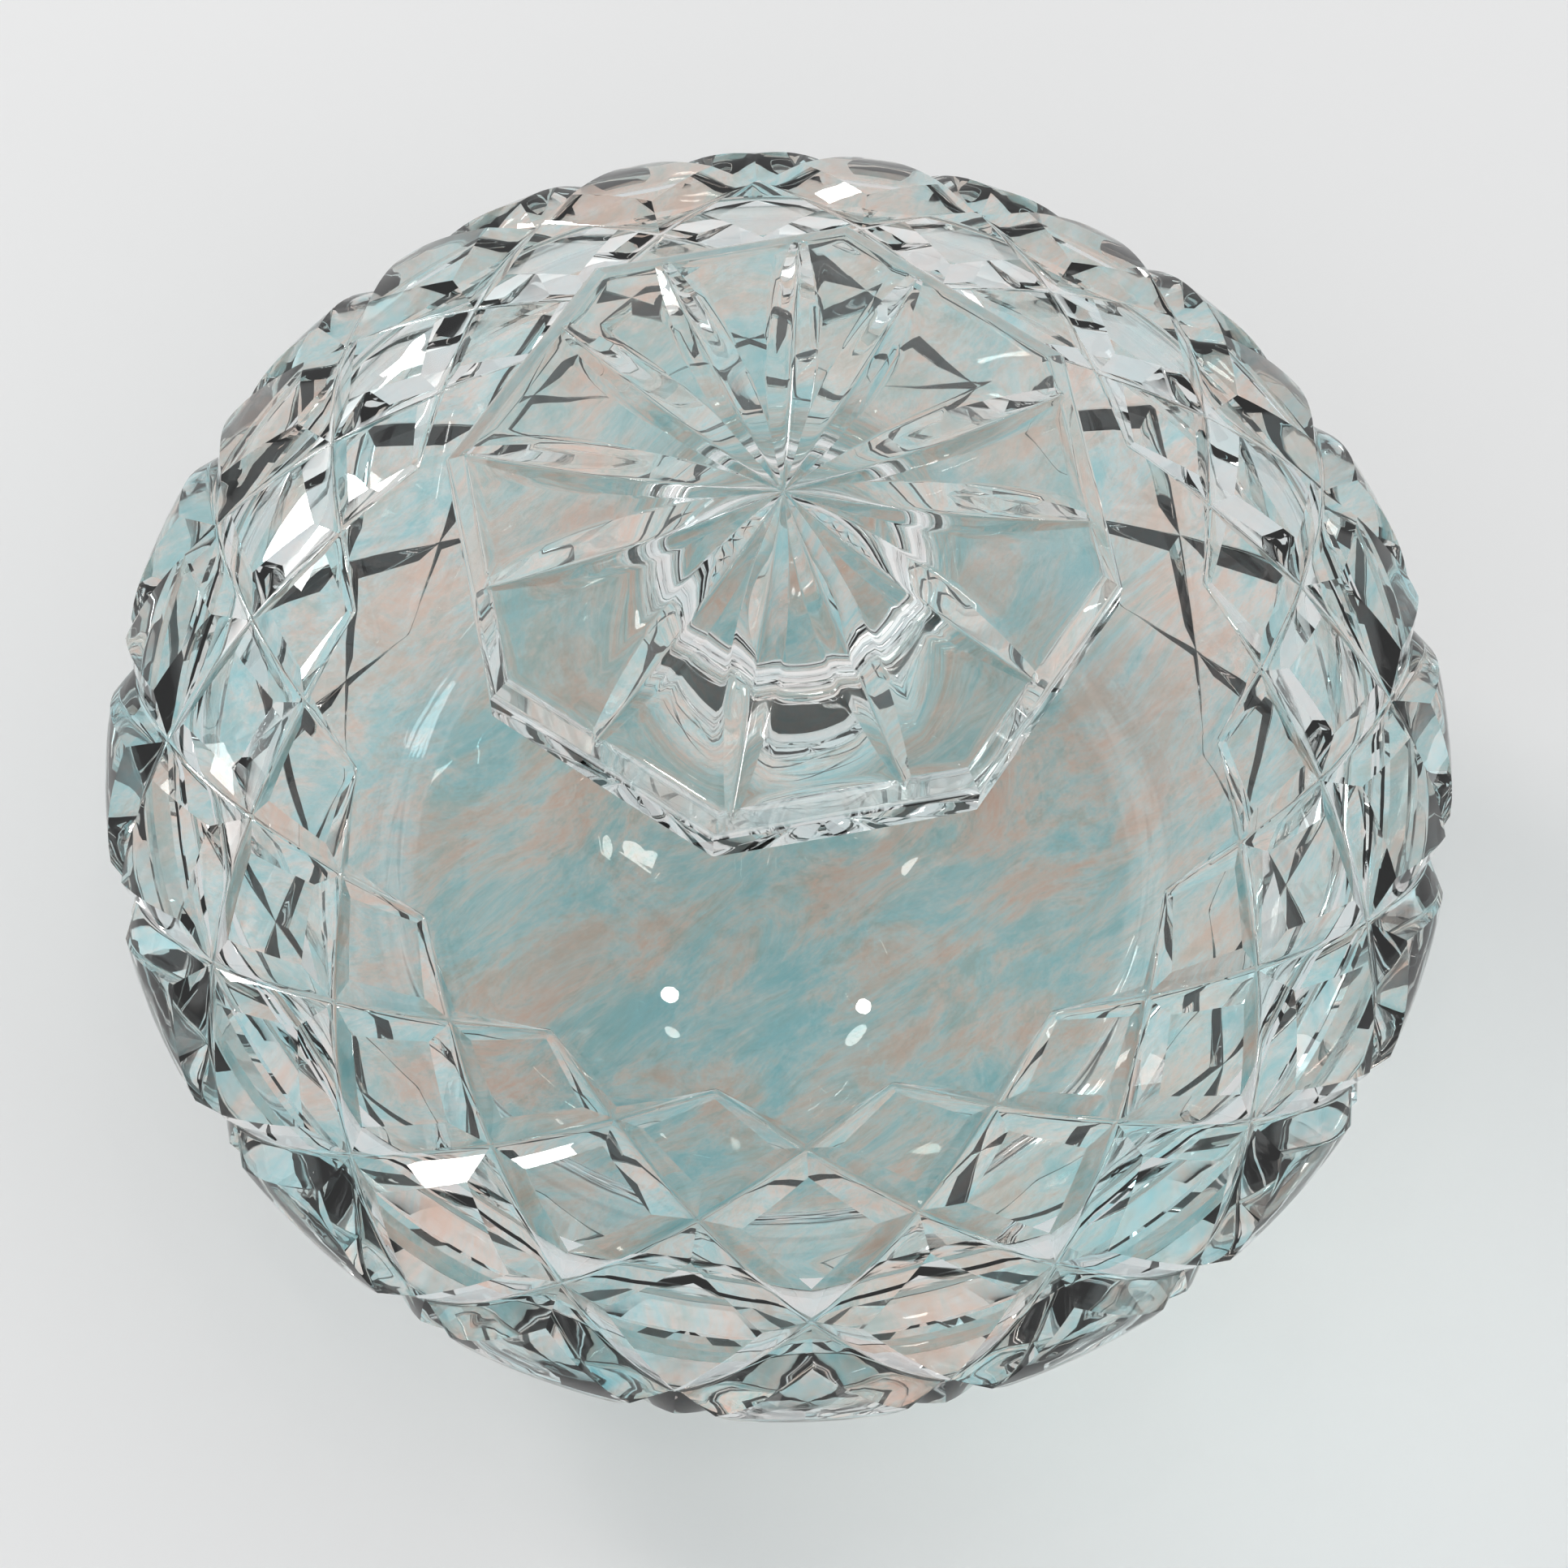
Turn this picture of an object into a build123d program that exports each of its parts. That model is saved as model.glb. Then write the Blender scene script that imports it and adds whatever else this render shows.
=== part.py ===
from build123d import *
import math
import os

# Cut-crystal powder jar with a lift-off lid. Millimetres, +Z up, origin in the
# middle of the flat base. Three pieces of glass: the jar, the lid's dome, and
# the knob with its stem, a separate gather that is fused to the dome's crown.

# ---- jar ----
belly_diameter = 127.0  # widest, at the seam between jar and lid
jar_height = 38.0  # base to seam
base_diameter = 76.0  # flat ground face that the jar stands on
base_arris = 0.8  # small bevel round the base
belly_roundness = 14.0  # radius of the side where it turns in under the seam
jar_wall = 5.2  # square to the side
mouth_roundness = 4.0  # inside, where the straight mouth meets the sloping side
floor_thickness = 7.0
floor_roundness = 12.0  # inside, where the side meets the floor

# ---- lid ----
dome_rise = 24.6  # crown above the seam, before the knob's seat is ground flat
crown_wall = 5.6
shoulder_wall = 6.5
ring_thickness = 2.8  # locating ring that hangs in the jar's mouth
ring_depth = 4.0
ring_clearance = 0.5  # between the ring and the mouth, all round and below

# ---- knob ----
seat_diameter = 28.0  # flat on the crown where the stem is fused
waist_diameter = 18.0
stem_height = 22.0  # seat to the lower edge of the disc
neck_sweep = 6.0  # radius of the curve from the waist to the disc's underside
disc_across_flats = 52.8
disc_edge = 3.6  # height of the eight upright sides
disc_bevel = 1.8  # bevel between the sides and the top
underside_slope = 8.0  # degrees that the underside falls towards the stem
disc_sides = 8
disc_turn = -143.0  # degrees from +X to a corner
disc_middle = Vector(-0.9, 0.9)  # shaped by hand, it sits a little off its stem

# ---- cutting ----
cut_count = 16  # mitre cuts each way round the jar and round the lid
cut_angle = 110.0  # included angle of the mitre wheel's edge
cut_depth = 1.7  # halfway along a cut; it is deeper over the shoulder
seam_cut_depth = 1.5
cut_turn = 45.0  # degrees that a cut turns round the jar from its tip to the seam
tip_bearing = -118.0  # degrees from +X to one cut's tip
lid_tip_diameter = 78.4  # circle of the tips round the plain crown
lid_cut_halfway = 0.44  # share of the way out to the belly when a cut is halfway round
jar_tip_height = 10.0  # the tips on the jar, above the base
star_bearings = (-2, 25, 64, 90, 119, 144, 176, 203, 239, 265, 294, 324)  # spaced by eye
star_middle = Vector(-1.0, 3.0)  # where the rays meet
star_depth = 1.4
star_run_out = 2.5  # the rays' arcs end this far past the edge of the disc's top
wheel_reach = 8.0  # how far the cutting wheel's flanks stand above its edge

belly_radius = belly_diameter / 2
base_radius = base_diameter / 2
seat_radius = seat_diameter / 2
waist_radius = waist_diameter / 2
foot_sweep = seat_radius - waist_radius  # curve from the seat to the waist

# The jar's side is an arc about side_centre, then a straight cone to the base.
side_centre = Vector(belly_radius - belly_roundness, jar_height)
base_offset = Vector(base_radius, 0) - side_centre
side_angle = math.atan2(base_offset.Y, base_offset.X) + math.acos(
    belly_roundness / base_offset.length
)
side_normal = Vector(math.cos(side_angle), math.sin(side_angle))
cone_top = side_centre + side_normal * belly_roundness

# The inside is a cone one wall in from it, up to a straight mouth that is deep
# enough for the lid's ring.
mouth_corner_z = (
    jar_height
    - ring_depth
    - ring_clearance
    - mouth_roundness * math.tan(abs(side_angle) / 2)
)


def side_radius(z):
    """Outside radius of the jar's cone at height z."""
    return base_radius - z * side_normal.Y / side_normal.X


def inner_radius(z):
    """Inside radius of the jar's cone at height z."""
    return side_radius(z) - jar_wall / side_normal.X


mouth_radius = inner_radius(mouth_corner_z)
ring_radius = mouth_radius - ring_clearance
ring_inner_radius = ring_radius - ring_thickness


def quarter_ellipse_height(radius, across, rise):
    return rise * math.sqrt(1 - (radius / across) ** 2)


def dome_z(radius):
    """Height of the lid's outside, a quarter ellipse in section."""
    return jar_height + quarter_ellipse_height(radius, belly_radius, dome_rise)


seat_z = dome_z(seat_radius)
edge_low_z = seat_z + stem_height
edge_high_z = edge_low_z + disc_edge
knob_top_z = edge_high_z + disc_bevel


def round_axis(radius, bearing, z):
    """Point or direction at a bearing, in degrees, round the jar's axis."""
    angle = math.radians(bearing)
    return Vector(radius * math.cos(angle), radius * math.sin(angle), z)


def v_cut(start, deepest, end, outward):
    """Glass that a V-edged wheel takes away: the wheel's edge runs on the arc
    through three points, and the V opens along outward."""
    path = ThreePointArc(start, deepest, end)
    centre = path.arc_center
    first, middle, last = start - centre, deepest - centre, end - centre
    axis = Axis(centre, first.cross(last))
    along = axis.direction.cross(middle).normalized()
    opening = (outward - along * outward.dot(along)).normalized()
    flank = opening.cross(along) * wheel_reach * math.tan(math.radians(cut_angle / 2))
    crest = deepest + opening * wheel_reach
    wedge = make_face(Polyline(deepest, crest + flank, crest - flank, close=True))
    before, after = middle.get_angle(first), middle.get_angle(last)
    return revolve(wedge.rotate(axis, -before), axis, revolution_arc=before + after)


def all_round(tool, count):
    return [Rotation(0, 0, step * 360 / count) * tool for step in range(count)]


def criss_cross(blank, tool):
    """Blank with one mitre cut repeated all round it and then crossed by its
    mirror images from the same tips. Crumbs that the crossings cut free fall off."""
    tip = Rotation(0, 0, tip_bearing)
    for hand in (tool, mirror(tool, about=Plane.XZ)):
        blank = blank - all_round(tip * hand, cut_count)
    return max(blank.solids(), key=lambda solid: solid.volume)


def jar_bowl():
    """Squat bowl: flat base, sloping side and rounded belly outside, and a
    straight mouth, sloping side and flat floor inside."""
    arris = (base_radius - base_arris, 0), (side_radius(base_arris), base_arris)
    side = Polyline((0, 0), *arris, cone_top)
    belly = CenterArc(side_centre, belly_roundness, math.degrees(side_angle), -math.degrees(side_angle))
    rim = Line((belly_radius, jar_height), (mouth_radius, jar_height))
    inside = FilletPolyline(
        (mouth_radius, jar_height),
        (mouth_radius, mouth_corner_z),
        (inner_radius(floor_thickness), floor_thickness),
        (0, floor_thickness),
        radius=(mouth_roundness, floor_roundness),
    )
    middle = Line((0, floor_thickness), (0, 0))
    blank = revolve(make_face(Plane.XZ * (side + belly + rim + inside + middle)), Axis.Z)

    half_z = (jar_tip_height + cone_top.Y) / 2
    outward = round_axis(side_normal.X, cut_turn / 2, side_normal.Y)
    cut = v_cut(
        round_axis(side_radius(jar_tip_height), 0, jar_tip_height),
        round_axis(side_radius(half_z), cut_turn / 2, half_z) - outward * cut_depth,
        round_axis(belly_radius - seam_cut_depth, cut_turn, jar_height),
        outward,
    )
    return criss_cross(blank, cut)


def flat_topped_quarter(across, rise):
    """Face of a quarter ellipse that stands on the seam, with its crown cut
    flat as wide as the knob's seat."""
    height = quarter_ellipse_height(seat_radius, across, rise)
    box = Rectangle(across, height, align=(Align.MIN, Align.MIN))
    return Pos(0, jar_height) * (Ellipse(across, rise) & box)


def lid_dome():
    """Shallow dome, flat on its crown for the stem and flat under it, with a
    locating ring below."""
    inner_across, inner_rise = belly_radius - shoulder_wall, dome_rise - crown_wall
    outside = flat_topped_quarter(belly_radius, dome_rise)
    inside = flat_topped_quarter(inner_across, inner_rise)
    ring_root = quarter_ellipse_height(ring_inner_radius, inner_across, inner_rise)
    ring = Pos(ring_inner_radius, jar_height - ring_depth) * Rectangle(
        ring_thickness, ring_depth + ring_root, align=(Align.MIN, Align.MIN)
    )
    blank = revolve(Plane.XZ * (outside - inside + ring), Axis.Z)

    tip_radius = lid_tip_diameter / 2
    half_radius = tip_radius + lid_cut_halfway * (belly_radius - tip_radius)
    half_z = dome_z(half_radius)
    steepness = (half_z - jar_height) / dome_rise**2
    outward = round_axis(half_radius / belly_radius**2, cut_turn / 2, steepness).normalized()
    cut = v_cut(
        round_axis(tip_radius, 0, dome_z(tip_radius)),
        round_axis(half_radius, cut_turn / 2, half_z) - outward * cut_depth,
        round_axis(belly_radius - seam_cut_depth, cut_turn, jar_height),
        outward,
    )
    return criss_cross(blank, cut)


def star_ray(bearing):
    """Mitre cut from the star's middle out over the bevel of the disc's top."""
    way = round_axis(1, bearing, 0)
    half_across = disc_across_flats / 2 - disc_bevel
    outward = [
        round_axis(1, disc_turn + (side + 0.5) * 360 / disc_sides, 0)
        for side in range(disc_sides)
    ]
    to_edge = min(
        (half_across - (star_middle - disc_middle).dot(normal)) / way.dot(normal)
        for normal in outward
        if way.dot(normal) > 0
    )
    reach = way * (to_edge + star_run_out)
    start = star_middle + Vector(0, 0, knob_top_z)
    deepest = start + reach / 2 - Vector(0, 0, star_depth)
    return v_cut(start, deepest, start + reach, Vector(0, 0, 1))


def lid_knob():
    """Mushroom knob: a waisted stem under an eight-sided, bevelled disc, whose
    top is cut with a star."""
    corner_radius = disc_across_flats / 2 / math.cos(math.pi / disc_sides)
    rim_radius = corner_radius + disc_middle.length
    slope = math.radians(underside_slope)
    neck_radius = waist_radius + neck_sweep * (1 - math.sin(slope))
    neck_z = edge_low_z - (rim_radius - neck_radius) * math.tan(slope)
    neck_centre = (waist_radius + neck_sweep, neck_z - neck_sweep * math.cos(slope))
    foot = CenterArc((seat_radius, seat_z + foot_sweep), foot_sweep, 180, 90)
    neck = CenterArc(neck_centre, neck_sweep, 180, underside_slope - 90)
    waist = Line(foot @ 0, neck @ 0)
    disc = Polyline(
        neck @ 1,
        (rim_radius, edge_low_z),
        (rim_radius, edge_high_z),
        (0, edge_high_z),
        (0, seat_z),
        foot @ 1,
    )
    round_knob = revolve(make_face(Plane.XZ * (foot + waist + neck + disc)), Axis.Z)
    outline = Pos(disc_middle) * RegularPolygon(corner_radius, disc_sides, rotation=disc_turn)
    eight_sided = extrude(Pos(0, 0, seat_z) * outline, edge_high_z - seat_z)
    bevel = extrude(Pos(0, 0, edge_high_z) * outline, disc_bevel, taper=45)
    knob = (round_knob & eight_sided) + bevel
    for bearing in star_bearings:
        knob -= star_ray(bearing)
    return knob


os.makedirs("parts", exist_ok=True)
for piece in (jar_bowl, lid_dome, lid_knob):
    export_step(piece(), f"parts/{piece.__name__}.step")
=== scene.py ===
import bmesh
import bpy
import math
import numpy as np
from mathutils import Matrix, Vector


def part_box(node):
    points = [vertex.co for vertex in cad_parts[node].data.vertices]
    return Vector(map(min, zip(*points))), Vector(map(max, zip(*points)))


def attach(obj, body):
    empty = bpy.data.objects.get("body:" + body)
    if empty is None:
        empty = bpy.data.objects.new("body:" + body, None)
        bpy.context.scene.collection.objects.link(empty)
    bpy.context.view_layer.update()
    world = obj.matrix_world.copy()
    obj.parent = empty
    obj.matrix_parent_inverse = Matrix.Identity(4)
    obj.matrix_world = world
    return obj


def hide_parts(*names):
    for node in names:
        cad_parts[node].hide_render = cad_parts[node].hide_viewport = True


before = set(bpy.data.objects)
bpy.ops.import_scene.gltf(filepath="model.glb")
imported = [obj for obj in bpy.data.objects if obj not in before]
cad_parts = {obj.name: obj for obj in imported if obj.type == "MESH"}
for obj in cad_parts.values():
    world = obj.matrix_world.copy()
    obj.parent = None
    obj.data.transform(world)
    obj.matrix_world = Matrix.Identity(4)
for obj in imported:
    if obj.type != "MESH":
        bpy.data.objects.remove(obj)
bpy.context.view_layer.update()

# ---------------------------------------------------------------- the jar
# A squat bowl of clear lead crystal, blown in a mould and then cut by hand: mitre wheels
# cross each other all round its side, from pointed tips above the base up to the seam.
# The base is ground flat and the rim is ground to meet the lid.
mm = 0.001
foot, rim_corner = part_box("jar_bowl")
belly_radius = rim_corner.x
seam_height = rim_corner.z
rim_gap = 0.03 * mm  # ground rims touch only on their high spots, so each stands this far off
base_radius = 38 * mm
base_arris = 0.8 * mm
belly_roundness = 14 * mm
jar_side = (0.7935, -0.6086)  # which way the sloping side faces, outwards and down
jar_tip_height = 10 * mm
jar_wall = 5.2 * mm
mouth_radius = 56.1 * mm
mouth_depth = 5.86 * mm  # straight part of the mouth, before its corner is rounded
mouth_bevel = 0.4 * mm
mouth_roundness = 4 * mm
floor_thickness = 7 * mm
floor_roundness = 12 * mm
inside_waviness = 0.05 * mm

cuts_each_way = 16
rings_of_crossings = 4  # a cut meets its mirror images this many times on the way to the seam
ring_closeness = 0.43  # gap between rings next to the tips, as a share of the average gap
tip_bearing = math.radians(-118)
cut_depth = 2.1 * mm
deepest_ring = 3.2  # how many rings from the tips the cuts are deepest
flank_spread = math.tan(math.radians(55))  # half the wheel's 110 degree edge
cut_root = 0.06  # the wheel's edge is a little round: this share of a cut's half width
shares_across = np.array([0, 0.05, 0.13, 0.32, 0.65, 1.0])  # grid lines, root to edge
crisp_bend = math.radians(24)  # polishing leaves bends sharper than this crisp
flank_steps = len(shares_across) - 1
land_steps = 8
steps_per_cut = 2 * flank_steps + land_steps
columns = cuts_each_way * steps_per_cut
half_step = math.pi / cuts_each_way  # the bearing from one crossing to the next


def arc(centre, radius, start, end, steps):
    """Points (r, z) = centre + radius (cos, sin) at even angles from start to end, in degrees."""
    turn = np.radians(np.linspace(start, end, steps + 1))
    return np.stack([centre[0] + radius * np.cos(turn), centre[1] + radius * np.sin(turn)], 1)


def run(start, end, steps):
    """Points (r, z) = start + share (end - start), for shares at even steps from 0 to 1."""
    return np.linspace(start, end, steps + 1)


def rounded_corner(before, corner, after, radius, steps):
    """Points (r, z) of the arc that touches both sides of a corner: its centre lies on the
    corner's bisector, radius / sin(half angle) away, and each point is centre + radius times
    a direction turned evenly from one touching point to the other."""
    before, corner, after = (np.array(point, float) for point in (before, corner, after))
    first = (before - corner) / np.linalg.norm(before - corner)
    second = (after - corner) / np.linalg.norm(after - corner)
    bisector = (first + second) / np.linalg.norm(first + second)
    half_angle = math.acos(np.dot(first, bisector))
    centre = corner + bisector * radius / math.sin(half_angle)
    reach = radius / math.tan(half_angle)
    start, end = corner + first * reach - centre, corner + second * reach - centre
    share = np.linspace(0, 1, steps + 1)[:, None]
    between = math.acos(np.dot(start, end) / radius**2)
    mixed = start * np.sin((1 - share) * between) + end * np.sin(share * between)
    return centre + mixed / math.sin(between)


def turned(profile, bearings):
    """Each point (r, z) of a profile carried round the axis: x = r cos, y = r sin of the
    bearings, which are one row for all points or one row for each."""
    radius, height = profile[:, 0, None], profile[:, 1, None]
    return np.stack(
        [radius * np.cos(bearings), radius * np.sin(bearings), height + 0 * bearings], -1
    )


def sheet_faces(rows):
    """Squares of a grid that closes on itself: point row x columns + column, the next in its
    row, and the two beside them in the next row."""
    row, column = np.arange(rows - 1)[:, None], np.arange(columns)
    here, beside = row * columns + column, row * columns + (column + 1) % columns
    return np.stack([here, beside, beside + columns, here + columns], -1).reshape(-1, 4)


def across_cut(step, half_width):
    """Place of a grid line, counted in cuts: shares_across times half_width on the flanks
    next to each whole number, and even steps over the land between."""
    place = step % steps_per_cut
    away = np.minimum(place, steps_per_cut - place)
    share = np.interp(away, np.arange(flank_steps + 1), shares_across)
    on_land = (away - flank_steps) / (land_steps / 2)
    offset = np.where(away <= flank_steps, share * half_width,
                      half_width + (0.5 - half_width) * on_land)
    return step // steps_per_cut + np.where(2 * place <= steps_per_cut, offset, 1 - offset), share


def v_section(share):
    """Depth across a cut, 1 at its root and 0 at its edge: a V whose root is a hyperbola."""
    top, bottom = math.hypot(1, cut_root), cut_root
    return (top - np.hypot(share, cut_root)) / (top - bottom)


def cut_band(profile, facing):
    """Band of crossing cuts over a profile from the tips' circle to the seam.
    A point lies between cut a of one hand and cut b of the other: its bearing is (a + b) half
    steps and it is (b - a) rings along the profile, so the grid's lines follow both hands.
    It is sunk along the surface's normal by the deeper of the two cuts' V sections."""
    step_a = np.arange(columns)[None, :]
    rows = rings_of_crossings * steps_per_cut
    row = np.arange(rows + 1)[:, None]
    ring = row / steps_per_cut
    length = np.insert(np.cumsum(np.hypot(*np.diff(profile, axis=0).T)), 0, 0)

    def reach(at):
        """Length along the profile: a share t of the rings lies at t (c + (1 - c) t) of it,
        where c is the rings' closeness, so they lie further apart towards the seam."""
        part = at / rings_of_crossings
        return length[-1] * part * (ring_closeness + (1 - ring_closeness) * part)

    radius_here = np.interp(reach(ring), length, profile[:, 0])
    round_step = radius_here * half_step
    gap = ring_closeness + 2 * (1 - ring_closeness) * ring / rings_of_crossings
    down_step = length[-1] / rings_of_crossings * gap
    cut_spacing = 2 * round_step * down_step / np.hypot(round_step, down_step)
    depth_here = cut_depth * (1 - (1 - ring / deepest_ring) ** 2)
    half_width = depth_here * flank_spread / cut_spacing
    a, share_a = across_cut(step_a, half_width)
    b, share_b = across_cut(step_a + row, half_width)
    depth = depth_here * np.maximum(v_section(share_a), v_section(share_b))

    along = reach(b - a)
    slope = np.gradient(profile, length, axis=0)
    radius, height = (np.interp(along, length, profile[:, i]) for i in (0, 1))
    out, up = (np.interp(along, length, slope[:, i]) * facing for i in (1, 0))
    size = np.hypot(out, up)
    bearing = tip_bearing + (a + b) * half_step
    radius, height = radius + depth * out / size, height - depth * up / size
    points = np.stack([radius * np.cos(bearing), radius * np.sin(bearing), height], -1)

    left, right = np.arange(columns), (np.arange(columns) + 1) % columns
    first, last, middle = 0, rows, np.arange(1, rows)[:, None]
    west, east = middle * columns + left, middle * columns + right
    south, north = (middle - 1) * columns + right, (middle + 1) * columns + left
    same_side = (left % steps_per_cut < steps_per_cut // 2) == (
        (left + middle) % steps_per_cut < steps_per_cut // 2
    )
    one = np.where(same_side, east, north)
    other = np.where(same_side, west, south)
    faces = np.concatenate([
        np.stack([left, right, left + columns], -1),
        np.stack([west, south, one], -1).reshape(-1, 3),
        np.stack([other, east, north], -1).reshape(-1, 3),
        np.stack([last * columns + left, (last - 1) * columns + right,
                  last * columns + right], -1),
    ])
    return points, faces, bearing[first], bearing[last]


def blown_waves(points, height):
    """A blown inside isn't quite true: it swells in and out along the radius by a sum of
    three slow sine waves of bearing and height."""
    bearing = np.arctan2(points[..., 1], points[..., 0])
    radius = np.hypot(points[..., 0], points[..., 1])
    wave = (np.sin(3 * bearing + radius / (6 * mm)) + np.sin(5 * bearing - radius / (4.3 * mm))
            + np.sin(2 * bearing + points[..., 2] / (3.1 * mm)))
    fade = np.clip(radius / (12 * mm), 0, 1)
    points[..., 2] += height * wave * fade
    return points


def glass_piece(name, sheets):
    """One closed mesh of several sheets of points and faces: shared edges are merged, faces
    turned outwards, and edges sharper than a polished bend stay crisp."""
    points, faces, count = [], [], 0
    for sheet_points, sheet_corners in sheets:
        points.append(sheet_points.reshape(-1, 3))
        faces += (sheet_corners + count).tolist()
        count += len(points[-1])
    mesh = bpy.data.meshes.new(name)
    mesh.from_pydata(np.concatenate(points), [], faces)
    shape = bmesh.new()
    shape.from_mesh(mesh)
    bmesh.ops.remove_doubles(shape, verts=shape.verts, dist=0.002 * mm)
    bmesh.ops.dissolve_degenerate(shape, edges=shape.edges, dist=0.001 * mm)
    bmesh.ops.triangulate(shape, faces=[f for f in shape.faces if len(f.verts) > 4])
    bmesh.ops.recalc_face_normals(shape, faces=shape.faces)
    shape.to_mesh(mesh)
    shape.free()
    mesh.shade_smooth()
    mesh.set_sharp_from_angle(angle=crisp_bend)
    piece = bpy.data.objects.new(name, mesh)
    bpy.context.scene.collection.objects.link(piece)
    return piece


def side_radius(height):
    """Radius of the jar's sloping side: the base's, less the height times the ratio of
    jar_side's two parts, because the side is straight and square to jar_side."""
    return base_radius - height * jar_side[1] / jar_side[0]


even_bearings = tip_bearing + np.arange(columns) * 2 * math.pi / columns
seam_bearings = even_bearings + rings_of_crossings * half_step
belly_centre = (belly_radius - belly_roundness, seam_height)
cone_top = np.array(belly_centre) + belly_roundness * np.array(jar_side)
tip_ring = (side_radius(jar_tip_height), jar_tip_height)
side_angle = math.degrees(math.atan2(jar_side[1], jar_side[0]))
rim_angle = -math.degrees(rim_gap / belly_roundness)
jar_side_line = np.concatenate([
    run(tip_ring, cone_top, 400),
    arc(belly_centre, belly_roundness, side_angle, rim_angle, 200)[1:],
])
jar_band, jar_band_faces, tip_bearings, rim_bearings = cut_band(jar_side_line, -1)

base = np.concatenate([
    run((0, 0), (base_radius - base_arris, 0), 8),
    run((base_radius - 0.6 * base_arris, 0.1 * base_arris),
        (side_radius(base_arris) - 0.05 * mm, base_arris), 2),
    run((side_radius(1.3 * base_arris), 1.3 * base_arris), tip_ring, 8),
])
settle = np.clip(base[:, 0] / tip_ring[0], 0, 1)[:, None] ** 4
jar_base = turned(base, even_bearings * (1 - settle) + tip_bearings * settle)

inner_offset = jar_wall / jar_side[0]
mouth_corner = (mouth_radius, seam_height - mouth_depth)
floor_corner = (side_radius(floor_thickness) - inner_offset, floor_thickness)
mouth = np.concatenate([
    run((mouth_radius + mouth_bevel, seam_height - rim_gap),
        (mouth_radius, seam_height - mouth_bevel), 2),
    run((mouth_radius, seam_height - 1 * mm), (mouth_radius, seam_height - 4 * mm), 3),
])
inside = np.concatenate([
    mouth,
    rounded_corner((mouth_radius, seam_height), mouth_corner, floor_corner, mouth_roundness, 8),
    rounded_corner(mouth_corner, floor_corner, (0, floor_thickness), floor_roundness, 14),
    run((22 * mm, floor_thickness), (0, floor_thickness), 12),
])
settle = np.clip(inside[:, 0] / mouth_radius, 0, 1)[:, None] ** 2
jar_inside = turned(inside, seam_bearings * (1 - settle) + rim_bearings * settle)
jar_inside[len(mouth):] = blown_waves(jar_inside[len(mouth):], inside_waviness)
jar_rim = np.stack([jar_band[-1], jar_inside[0]])

jar = glass_piece("powder_jar", [
    (jar_base, sheet_faces(len(jar_base))),
    (jar_band, jar_band_faces),
    (jar_rim, sheet_faces(2)),
    (jar_inside, sheet_faces(len(jar_inside))),
])


def named_group(name, inputs, outputs):
    """Empty shader node group with the named float inputs and outputs of the given kinds."""
    group = bpy.data.node_groups.new(name, "ShaderNodeTree")
    for label, value in inputs.items():
        kind = "NodeSocketColor" if isinstance(value, tuple) else "NodeSocketFloat"
        group.interface.new_socket(label, in_out="INPUT", socket_type=kind).default_value = value
    for label, kind in outputs.items():
        group.interface.new_socket(label, in_out="OUTPUT", socket_type=kind)
    return group, group.nodes.new("NodeGroupInput"), group.nodes.new("NodeGroupOutput")


# Painted see-through colour: the glass drifts from clear to a cool and to a blush cast, in cloudy
# patches stretched out on the slant. The patches are painted colour standing in for coloured
# things seen through the glass, and the grey of the clear part is painted shade that dims it a
# little.
see_through_paint, see_through_paint_in, see_through_paint_out = named_group(
    "painted_see_through_colour",
    {"Patches a metre": 100.0, "Cool": (0.50, 0.83, 0.88, 1), "Warm": (0.97, 0.73, 0.63, 1),
     "Clear": (0.95, 0.96, 0.95, 1), "Strength": 0.5},
    {"Colour": "NodeSocketColor"},
)
where = see_through_paint.nodes.new("ShaderNodeTexCoord")
drawn_out = see_through_paint.nodes.new("ShaderNodeMapping")
drawn_out.vector_type = "TEXTURE"
drawn_out.inputs["Scale"].default_value = (1.9, 0.8, 3.0)
drawn_out.inputs["Rotation"].default_value = (0, 0, math.radians(38))
patches = see_through_paint.nodes.new("ShaderNodeTexNoise")
patches.inputs["Detail"].default_value = 7
patches.inputs["Roughness"].default_value = 0.8
patches.inputs["Distortion"].default_value = 0.5
see_through_paint.links.new(where.outputs["Object"], drawn_out.inputs["Vector"])
see_through_paint.links.new(drawn_out.outputs["Vector"], patches.inputs["Vector"])
see_through_paint.links.new(see_through_paint_in.outputs["Patches a metre"], patches.inputs["Scale"])
mix_colour_a, mix_colour_b, mix_colour_result = 6, 7, 2  # a Mix node's colour sockets
so_far = see_through_paint_in.outputs["Clear"]
for hue, none_at, full_at in (("Cool", 0.52, 0.42), ("Warm", 0.50, 0.60)):
    amount, tinted = see_through_paint.nodes.new("ShaderNodeMapRange"), see_through_paint.nodes.new("ShaderNodeMix")
    amount.inputs["From Min"].default_value = none_at
    amount.inputs["From Max"].default_value = full_at
    tinted.data_type = "RGBA"
    see_through_paint.links.new(patches.outputs["Fac"], amount.inputs["Value"])
    see_through_paint.links.new(see_through_paint_in.outputs["Strength"], amount.inputs["To Max"])
    see_through_paint.links.new(amount.outputs["Result"], tinted.inputs["Factor"])
    see_through_paint.links.new(so_far, tinted.inputs[mix_colour_a])
    see_through_paint.links.new(see_through_paint_in.outputs[hue], tinted.inputs[mix_colour_b])
    so_far = tinted.outputs[mix_colour_result]
see_through_paint.links.new(so_far, see_through_paint_out.inputs["Colour"])

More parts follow.
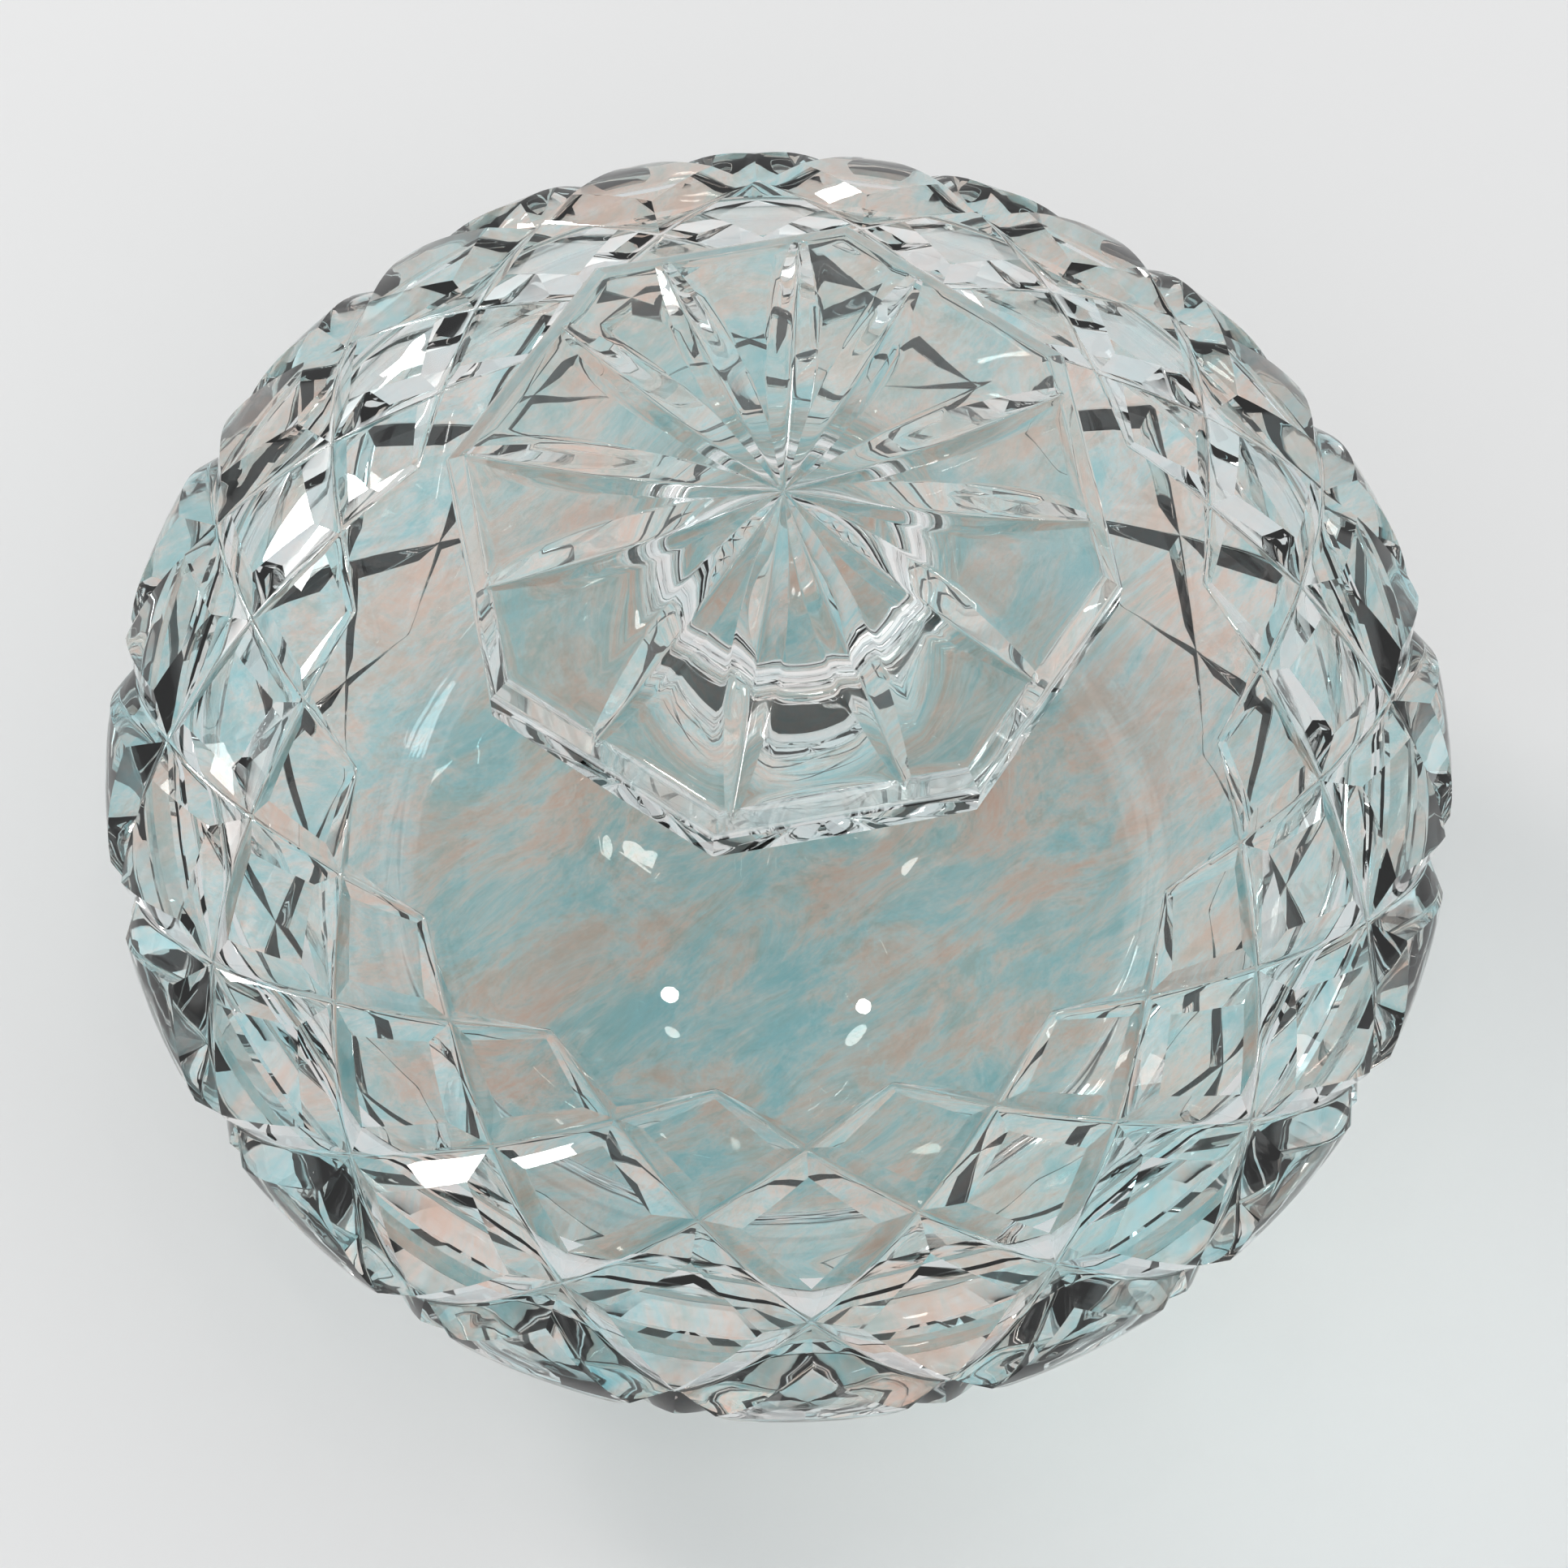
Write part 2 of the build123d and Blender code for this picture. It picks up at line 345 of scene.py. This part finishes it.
# Polish: acid polishing leaves the surface very slightly uneven in gloss and level.
polish, polish_in, polish_out = named_group(
    "acid_polish",
    {"Scale": 90.0, "Smoothest": 0.0, "Roughest": 0.03},
    {"Roughness": "NodeSocketFloat", "Height": "NodeSocketFloat"},
)
where = polish.nodes.new("ShaderNodeTexCoord")
orange_peel = polish.nodes.new("ShaderNodeTexNoise")
orange_peel.inputs["Detail"].default_value = 2
gloss = polish.nodes.new("ShaderNodeMapRange")
gloss.inputs["From Min"].default_value = 0.45
gloss.inputs["From Max"].default_value = 0.75
polish.links.new(where.outputs["Object"], orange_peel.inputs["Vector"])
polish.links.new(polish_in.outputs["Scale"], orange_peel.inputs["Scale"])
polish.links.new(orange_peel.outputs["Fac"], gloss.inputs["Value"])
polish.links.new(polish_in.outputs["Smoothest"], gloss.inputs["To Min"])
polish.links.new(polish_in.outputs["Roughest"], gloss.inputs["To Max"])
polish.links.new(gloss.outputs["Result"], polish_out.inputs["Roughness"])
polish.links.new(orange_peel.outputs["Fac"], polish_out.inputs["Height"])


def crystal(name, painted_tint_strength, patches_a_metre, unevenness, let_through):
    """Clear lead crystal: glass of refractive index 1.545 with painted see-through colour (cool
    and blush patches and a slight dimming, standing in for coloured things and shade seen through
    it) and the polish's gloss and level. The colour let_through of the lamps' light goes on past
    it."""
    material = bpy.data.materials.new(name)
    material.use_nodes = True
    nodes, links = material.node_tree.nodes, material.node_tree.links
    glass = nodes["Principled BSDF"]
    glass.inputs["IOR"].default_value = 1.545
    glass.inputs["Transmission Weight"].default_value = 1.0
    colour, surface = nodes.new("ShaderNodeGroup"), nodes.new("ShaderNodeGroup")
    colour.node_tree, surface.node_tree = see_through_paint, polish
    colour.inputs["Strength"].default_value = painted_tint_strength
    colour.inputs["Patches a metre"].default_value = patches_a_metre
    level = nodes.new("ShaderNodeBump")
    level.inputs["Strength"].default_value = 1.0
    level.inputs["Distance"].default_value = unevenness
    through, rays = nodes.new("ShaderNodeBsdfTransparent"), nodes.new("ShaderNodeLightPath")
    either = nodes.new("ShaderNodeMixShader")
    through.inputs["Color"].default_value = (*let_through, 1)
    links.new(rays.outputs["Is Shadow Ray"], either.inputs["Fac"])
    links.new(glass.outputs["BSDF"], either.inputs[1])
    links.new(through.outputs["BSDF"], either.inputs[2])
    links.new(either.outputs["Shader"], nodes["Material Output"].inputs["Surface"])
    links.new(colour.outputs["Colour"], glass.inputs["Base Color"])
    links.new(surface.outputs["Roughness"], glass.inputs["Roughness"])
    links.new(surface.outputs["Height"], level.inputs["Height"])
    links.new(level.outputs["Normal"], glass.inputs["Normal"])
    return material


# The jar's crystal has the painted see-through colour at full strength.
jar.data.materials.append(crystal("jar_crystal", 1.0, 125.0, 0.04 * mm, (0.6, 0.65, 0.65)))
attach(jar, "jar")
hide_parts("jar_bowl")

# ---------------------------------------------------------------- the lid
# A shallow dome with a plain polished crown and the same crossing cuts round its shoulder.
# A short waisted stem and a thick eight-sided disc are one gather of crystal, fused to the
# crown; a twelve-rayed star is cut into the disc's top by eye. A ring under the dome drops
# into the jar's mouth.
seat, knob_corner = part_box("lid_knob")
seat_height, knob_top = seat.z, knob_corner.z
dome_rise = 24.6 * mm
inner_across, inner_rise = 57 * mm, 19 * mm
crown_radius = 39.2 * mm  # circle of the cuts' tips
seat_radius = 14 * mm
ring_outer, ring_inner = 55.6 * mm, 52.8 * mm
ring_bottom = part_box("lid_dome")[0].z
ring_arris = 0.4 * mm
lid_waviness = 0.06 * mm

waist_radius = 9 * mm
foot_sweep = 5 * mm
neck_sweep = 6 * mm
disc_half_across = 26.4 * mm
disc_middle = np.array([-0.9, 0.9]) * mm  # shaped by hand, it sits a little off its stem
disc_bevel = 1.8 * mm
disc_edge = 3.6 * mm
disc_arris = 0.22 * mm  # polished-over edges
disc_sides = 8
disc_turn = math.radians(-143)
underside_slope = math.radians(8)

star_middle = np.array([-1.0, 3.0]) * mm
star_bearings = np.radians([-2, 25, 64, 90, 119, 144, 176, 203, 239, 265, 294, 324])
star_depth = 1.4 * mm
star_run_out = 2.5 * mm  # the rays' arcs end this far past the edge of the disc's top
star_least_turn = math.radians(1.0)  # narrowest that the grid's lines draw together


def ellipse_line(across, rise, start_radius, end_radius, steps):
    """Points (r, z) of a quarter ellipse that stands on the seam, at even turns of the angle
    whose cosine is r / across."""
    turn = np.linspace(*np.arccos(np.array([start_radius, end_radius]) / across), steps + 1)
    return np.stack([across * np.cos(turn), seam_height + rise * np.sin(turn)], 1)


def eight_sided(bearing):
    """Distance to the edge of an octagon whose flats are 1 from its middle: 1 / cos of the
    angle between the bearing and the middle of the nearest flat."""
    side = 2 * math.pi / disc_sides
    return 1 / np.cos((bearing - disc_turn) % side - side / 2)


def to_top_edge(bearing):
    """Distance from the star's middle to the edge of the disc's top: the least, over the flats
    that the bearing faces, of the flat's distance from the star's middle / cos between them."""
    normals = disc_turn + (np.arange(disc_sides) + 0.5) * 2 * math.pi / disc_sides
    toward = np.cos(bearing[..., None] - normals)
    off_middle = star_middle - disc_middle
    middle = off_middle[0] * np.cos(normals) + off_middle[1] * np.sin(normals)
    flat = disc_half_across - disc_bevel
    return np.min(np.where(toward > 0.01, (flat - middle) / np.maximum(toward, 0.01), 1), -1)


def ray_depth(distance, length):
    """Depth of a ray's root: a parabola, 0 at both ends of its length and star_depth halfway."""
    return star_depth * np.clip(1 - (2 * distance / length - 1) ** 2, 0, None)


# Columns of the knob's grid: each sector between two rays has flank lines beside both rays
# and even lines over the land, as the cuts' grid has.
sector_steps = columns // len(star_bearings)
step = np.arange(columns)
sector, place = step // sector_steps, step % sector_steps
from_ray = np.minimum(place, sector_steps - place)
nearest_ray = (sector + (2 * place > sector_steps)) % len(star_bearings)
side_of_ray = np.where(2 * place > sector_steps, -1, 1)
ray_bearing = star_bearings[nearest_ray]
next_bearing = np.append(star_bearings, star_bearings[0] + 2 * math.pi)
half_sector = (next_bearing[sector + 1] - next_bearing[sector]) / 2
ray_lengths = to_top_edge(star_bearings) + star_run_out
flank_share = np.interp(from_ray, np.arange(flank_steps + 1), shares_across)
land_share = (from_ray - flank_steps) / (sector_steps / 2 - flank_steps)


def column_bearings(out):
    """Bearing of each column about the star's middle at a share of the way out: the flank
    lines keep to the ray's half width there, and the land's lines share what is left."""
    length = ray_lengths[nearest_ray]
    distance = np.maximum(out * (length - star_run_out), 0.01 * mm)
    half_width = ray_depth(distance, length) * flank_spread
    edge = np.clip(np.arctan(half_width / distance), star_least_turn, 0.96 * half_sector)
    on_land = edge + (half_sector - edge) * land_share
    offset = np.where(from_ray <= flank_steps, flank_share * edge, on_land)
    return ray_bearing + side_of_ray * offset


edge_bearings = column_bearings(np.array([[1.0]]))[0]
corner_way = disc_turn + np.arange(disc_sides) * 2 * math.pi / disc_sides
corner_reach = (disc_half_across - disc_bevel) / math.cos(math.pi / disc_sides)
corner_bearings = np.arctan2(
    disc_middle[1] + corner_reach * np.sin(corner_way) - star_middle[1],
    disc_middle[0] + corner_reach * np.cos(corner_way) - star_middle[0],
)
shift = (corner_bearings[:, None] - edge_bearings + math.pi) % (2 * math.pi) - math.pi
nearest = np.abs(shift).argmin(1)
corner_shift = np.zeros(columns)
corner_shift[nearest] = shift[np.arange(disc_sides), nearest]
edge_bearings = edge_bearings + corner_shift
edge_points = star_middle + to_top_edge(edge_bearings)[:, None] * np.stack(
    [np.cos(edge_bearings), np.sin(edge_bearings)], -1
)
disc_bearings = np.unwrap(np.arctan2(*(edge_points - disc_middle).T[::-1]))

out = np.linspace(0, 1, 31)[:, None]
top_bearings = column_bearings(out) + corner_shift * out**3
distance = out * np.hypot(*(edge_points - star_middle).T)
x = star_middle[0] + distance * np.cos(top_bearings)
y = star_middle[1] + distance * np.sin(top_bearings)
x[-1], y[-1] = edge_points.T


def star_cut(x, y):
    """Height that the star's rays leave at (x, y): the lowest of twelve V troughs, each as
    deep as its root at that distance less its slope to the side."""
    x, y = (x - star_middle[0])[..., None], (y - star_middle[1])[..., None]
    along = x * np.cos(star_bearings) + y * np.sin(star_bearings)
    aside = y * np.cos(star_bearings) - x * np.sin(star_bearings)
    root = ray_depth(np.clip(along, 0, None), ray_lengths)
    soft_root = cut_root * root * flank_spread
    sunk = root - (np.hypot(aside, soft_root) - soft_root) / flank_spread
    return knob_top - np.clip(sunk, 0, None).max(-1)


star_top = np.stack([x, y, star_cut(x, y)], -1)

# Below the top: the eight flats, the underside that falls to the neck, the waisted stem and
# its foot, which sweeps out on to the crown. The crown's columns then ease round from the
# knob's bearings to those of the cuts' tips.
disc_way = eight_sided(disc_bearings)[:, None] * np.stack(
    [np.cos(disc_bearings), np.sin(disc_bearings)], -1
)
edge_top, edge_low = knob_top - disc_bevel, knob_top - disc_bevel - disc_edge
neck_radius = waist_radius + neck_sweep * (1 - math.sin(underside_slope))
corner_radius = disc_half_across / math.cos(math.pi / disc_sides)
rim_radius = corner_radius + np.hypot(*disc_middle)
neck_end = edge_low - (rim_radius - neck_radius) * math.tan(underside_slope)
disc_rows = np.concatenate([
    [(disc_half_across - disc_bevel + 0.3 * disc_arris, knob_top - 0.1 * disc_arris)],
    run((disc_half_across - disc_bevel + disc_arris, knob_top - disc_arris),
        (disc_half_across - disc_arris, edge_top + disc_arris), 5),
    run((disc_half_across, edge_top - 0.5 * disc_arris),
        (disc_half_across, edge_top - disc_edge / 2), 1),
])
disc_side = np.empty((len(disc_rows), columns, 3))
disc_side[..., :2] = disc_middle + disc_rows[:, :1, None] * disc_way
disc_side[..., 2] = np.minimum(disc_rows[:, 1:], star_cut(*np.moveaxis(disc_side[..., :2], -1, 0)))
inward = np.concatenate([[0, 0.012], np.linspace(0.05, 1, 12)])[:, None, None]
side_foot = disc_middle + disc_half_across * disc_way
stem_bearings = np.unwrap(np.arctan2(*side_foot.T[::-1]))
neck_way = np.stack([np.cos(stem_bearings), np.sin(stem_bearings)], -1)
underside = np.empty((len(inward), columns, 3))
underside[..., :2] = side_foot * (1 - inward) + neck_radius * neck_way * inward
underside[1, :, :2] -= disc_arris * neck_way
fall = np.hypot(underside[..., 0], underside[..., 1]) - neck_radius
underside[..., 2] = neck_end + fall * math.tan(underside_slope)
underside[0, :, 2] += disc_arris
neck_centre = (waist_radius + neck_sweep, neck_end - neck_sweep * math.cos(underside_slope))
stem = np.concatenate([
    arc(neck_centre, neck_sweep, 90 + math.degrees(underside_slope), 180, 12)[1:],
    run((waist_radius, neck_centre[1]), (waist_radius, seat_height + foot_sweep), 4)[1:],
    arc((seat_radius, seat_height + foot_sweep), foot_sweep, 180, 262, 12)[1:],
])
stem_points = turned(stem, stem_bearings)

dome_edge = belly_radius * math.cos(rim_gap / dome_rise)
dome_line = ellipse_line(belly_radius, dome_rise, crown_radius, dome_edge, 800)
lid_band, lid_band_faces, tip_bearings, rim_bearings = cut_band(dome_line, 1)
lag = round((tip_bearings.mean() - stem_bearings.mean()) / (2 * math.pi) * columns)
rolled = np.unwrap(np.roll(stem_bearings, -lag))
rolled += 2 * math.pi * round((tip_bearings.mean() - rolled.mean()) / (2 * math.pi))
crown = ellipse_line(belly_radius, dome_rise, seat_radius + 0.8 * mm, crown_radius, 26)
settle = np.linspace(0, 1, len(crown))[:, None]
settle = settle**2 * (3 - 2 * settle)
crown_points = turned(crown, rolled * (1 - settle) + tip_bearings * settle)
knob_points = np.roll(np.concatenate([star_top, disc_side, underside, stem_points]), -lag, 1)

inner_crown = seam_height + inner_rise * math.sqrt(1 - (seat_radius / inner_across) ** 2)
ring_line = np.concatenate([
    run((ring_outer + 0.5 * mm, seam_height + rim_gap), (ring_outer, seam_height), 2),
    run((ring_outer, ring_bottom + 2 * ring_arris), (ring_outer, ring_bottom + ring_arris), 1),
    run((ring_outer - ring_arris, ring_bottom), (ring_inner + ring_arris, ring_bottom), 2),
    run((ring_inner, ring_bottom + ring_arris), (ring_inner, seam_height + 5 * mm), 4),
])
under_rim = np.concatenate([
    ring_line,
    ellipse_line(inner_across, inner_rise, ring_inner - 0.8 * mm, seat_radius, 40),
    run((seat_radius - 1 * mm, inner_crown), (0, inner_crown), 8),
])
settle = np.clip(under_rim[:, 0] / ring_outer, 0, 1)[:, None] ** 2
lid_inside = turned(under_rim, seam_bearings * (1 - settle) + rim_bearings * settle)
wavy = slice(len(ring_line) + 1, None)
lid_inside[wavy] = blown_waves(lid_inside[wavy], lid_waviness)
lid_rim = np.stack([lid_band[-1], lid_inside[0]])
knob_and_crown = np.concatenate([knob_points, crown_points])

lid = glass_piece("jar_lid", [
    (knob_and_crown, sheet_faces(len(knob_and_crown))),
    (lid_band, lid_band_faces),
    (lid_rim, sheet_faces(2)),
    (lid_inside, sheet_faces(len(lid_inside))),
])
# The lid's crystal has the painted see-through colour at 0.3 strength.
lid.data.materials.append(crystal("lid_crystal", 0.3, 80.0, 0.02 * mm, (0.82, 0.85, 0.85)))
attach(lid, "lid")
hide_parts("lid_dome", "lid_knob")

# ---------------------------------------------------------------- the studio
# A pale matt table top under even light: a soft box to the left and behind, a weak fill to
# the right, and four small round lamps in a ring overhead.
table_half = 2.5
corners = [(-1, -1), (1, -1), (1, 1), (-1, 1)]
table_height = foot.z - 0.05 * mm  # the ground base rests on the table's high spots
table_top = bpy.data.meshes.new("table_top")
table_top.from_pydata([(table_half * x, table_half * y, table_height) for x, y in corners],
                      [], [(0, 1, 2, 3)])
table = bpy.data.objects.new("table_top", table_top)
bpy.context.scene.collection.objects.link(table)
matt = bpy.data.materials.new("pale_table")
matt.use_nodes = True
matt.node_tree.nodes["Principled BSDF"].inputs["Base Color"].default_value = (0.86, 0.86, 0.86, 1)
matt.node_tree.nodes["Principled BSDF"].inputs["Roughness"].default_value = 0.6
table_top.materials.append(matt)

world = bpy.data.worlds.new("studio")
bpy.context.scene.world = world
world.use_nodes = True
world.node_tree.nodes["Background"].inputs["Color"].default_value = (0.90, 0.91, 0.92, 1)
world.node_tree.nodes["Background"].inputs["Strength"].default_value = 0.8


def soft_box(name, place, size, power, colour, shape="SQUARE"):
    """Area light at a place, turned along the line from there to the middle of the seam."""
    lamp = bpy.data.lights.new(name, "AREA")
    lamp.shape, lamp.size, lamp.energy, lamp.color = shape, size, power, colour
    light = bpy.data.objects.new(name, lamp)
    light.location = place
    toward = Vector((0, 0, seam_height)) - Vector(place)
    light.rotation_euler = toward.to_track_quat("-Z", "Y").to_euler()
    bpy.context.scene.collection.objects.link(light)


ceiling_lamps, ceiling_ring, ceiling_height = 4, 0.3, 1.5
soft_box("key", (-1.3, 1.1, 0.95), 0.36, 12, (1.0, 0.98, 0.96))
soft_box("fill", (1.6, -0.5, 0.6), 0.4, 2, (0.92, 0.97, 1.0))
for count in range(ceiling_lamps):  # evenly round a ring over the jar
    turn = (count + 0.5) * 2 * math.pi / ceiling_lamps
    place = (ceiling_ring * math.cos(turn), ceiling_ring * math.sin(turn), ceiling_height)
    soft_box(f"ceiling_lamp_{count + 1}", place, 0.04, 0.25, (1.0, 0.97, 0.92), "DISK")

# The camera looks steeply down over the front of the jar, turned a little about its own axis
# and a little off the jar's.
tilt, roll = math.radians(21.05), math.radians(-3.42)
distance, aside, below = 365.8 * mm, 0.49 * mm, 2.84 * mm
back = Vector((0, -math.sin(tilt), math.cos(tilt)))
right, up = Vector((1, 0, 0)), Vector((0, math.cos(tilt), math.sin(tilt)))
lens = bpy.data.cameras.new("camera")
lens.lens, lens.sensor_width, lens.clip_start = 88.75, 36, 0.01
camera = bpy.data.objects.new("camera", lens)
across = right * math.cos(roll) - up * math.sin(roll)
upward = right * math.sin(roll) + up * math.cos(roll)
camera.matrix_world = Matrix((across, upward, back)).transposed().to_4x4()
camera.location = Vector((0, 0, seam_height)) + back * distance + right * aside - up * below
bpy.context.scene.collection.objects.link(camera)
bpy.context.scene.camera = camera
bpy.context.scene.view_settings.view_transform = "Standard"
bpy.context.scene.cycles.max_bounces = 24
bpy.context.scene.cycles.transmission_bounces = 24
